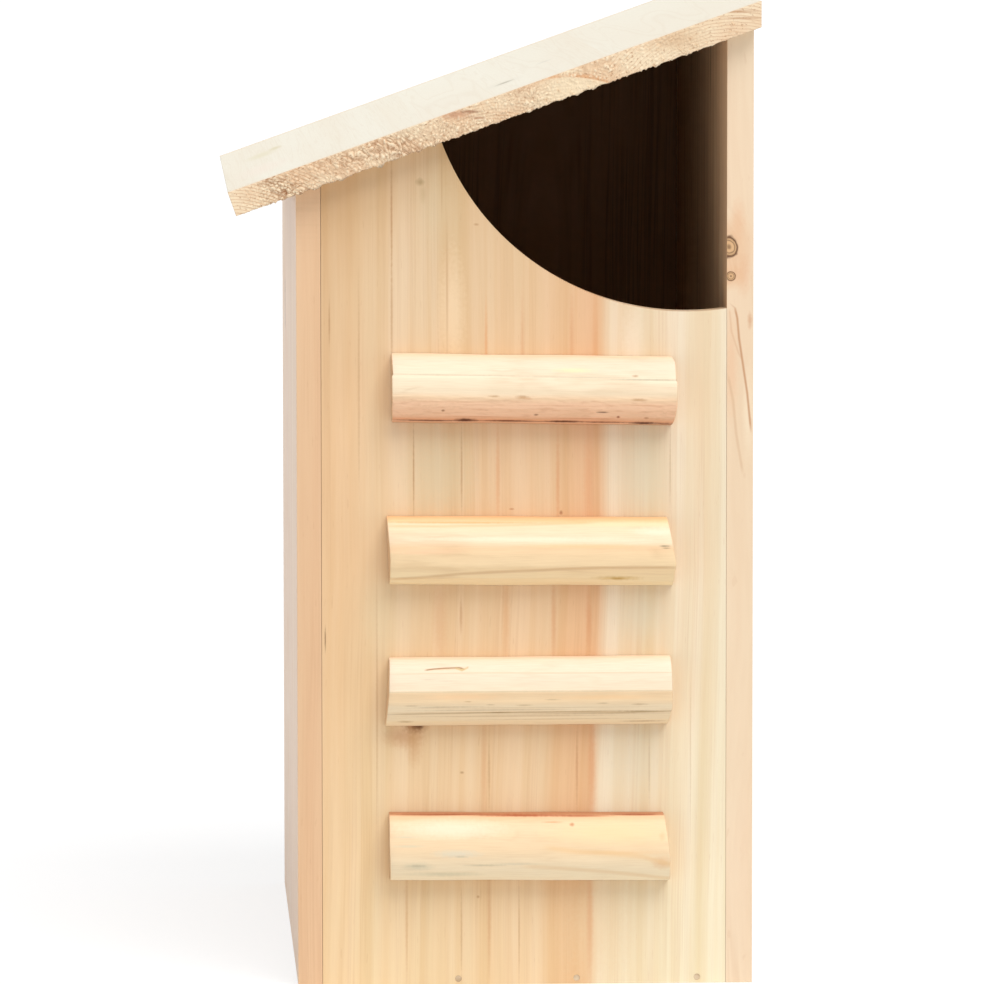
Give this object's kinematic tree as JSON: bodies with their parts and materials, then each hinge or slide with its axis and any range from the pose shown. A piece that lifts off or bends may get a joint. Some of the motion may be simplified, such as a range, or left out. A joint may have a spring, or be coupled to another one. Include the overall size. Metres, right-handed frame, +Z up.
{
  "type": "nest box",
  "caption": "Pine nest box with a sloping lift-up roof, a large round-notched entrance beside its tall back board, and half-round climbing rungs below the entrance.",
  "frame": {"origin": "middle of the underside of the box, on the floor board's lower face", "axes": "+Z up, +X towards the tall back board, -Y towards the side panel with the entrance and the rungs"},
  "size_m": [0.2055, 0.3043, 0.3805],
  "materials": {
    "panel_pine": "planed bare softwood, satin",
    "back_pine": "planed bare softwood, paler, satin",
    "roof_pine": "planed top, rough-sawn end grain edges",
    "rung_pine": "split and shaved rounds, matt",
    "fastener_steel": "bright drawn steel",
    "hinge_steel": "yellow zinc plated"
  },
  "bodies": {
    "box": {"back_board": "back_pine", "back_board_nail_1": "fastener_steel", "back_board_nail_2": "fastener_steel", "back_board_nail_3": "fastener_steel", "back_board_nail_4": "fastener_steel", "back_board_nail_5": "fastener_steel", "back_board_nail_6": "fastener_steel", "back_floor_nail_1": "fastener_steel", "back_floor_nail_2": "fastener_steel", "back_floor_nail_3": "fastener_steel", "entrance_side_floor_nail_1": "fastener_steel", "entrance_side_floor_nail_2": "fastener_steel", "entrance_side_floor_nail_3": "fastener_steel", "entrance_side_panel": "panel_pine", "far_hinge_board_leaf": "hinge_steel", "far_hinge_pin": "fastener_steel", "floor_board": "back_pine", "front_board": "panel_pine", "front_board_nail_1": "fastener_steel", "front_board_nail_2": "fastener_steel", "front_board_nail_3": "fastener_steel", "front_board_nail_4": "fastener_steel", "front_board_nail_5": "fastener_steel", "front_board_nail_6": "fastener_steel", "front_floor_nail_1": "fastener_steel", "front_floor_nail_2": "fastener_steel", "front_floor_nail_3": "fastener_steel", "hinge_board_screw_1": "fastener_steel", "hinge_board_screw_2": "fastener_steel", "hinge_board_screw_3": "fastener_steel", "hinge_board_screw_4": "fastener_steel", "near_hinge_board_leaf": "hinge_steel", "near_hinge_pin": "fastener_steel", "plain_side_floor_nail_1": "fastener_steel", "plain_side_floor_nail_2": "fastener_steel", "plain_side_floor_nail_3": "fastener_steel", "plain_side_panel": "panel_pine", "rung_1": "rung_pine", "rung_2": "rung_pine", "rung_3": "rung_pine", "rung_4": "rung_pine", "rung_nail_1": "fastener_steel", "rung_nail_2": "fastener_steel", "rung_nail_3": "fastener_steel", "rung_nail_4": "fastener_steel", "rung_nail_5": "fastener_steel", "rung_nail_6": "fastener_steel", "rung_nail_7": "fastener_steel", "rung_nail_8": "fastener_steel"},
    "roof": {"far_hinge_roof_leaf": "hinge_steel", "hinge_roof_screw_1": "fastener_steel", "hinge_roof_screw_2": "fastener_steel", "hinge_roof_screw_3": "fastener_steel", "hinge_roof_screw_4": "fastener_steel", "near_hinge_roof_leaf": "hinge_steel", "roof_board": "roof_pine"}
  },
  "joints": [
    {"name": "roof_hinge", "type": "hinge", "parent": "box", "child": "roof", "pos_m": [0.08975, 0, 0.36812], "axis": [0, 1, 0], "range_deg": [0, 105]}
  ]
}
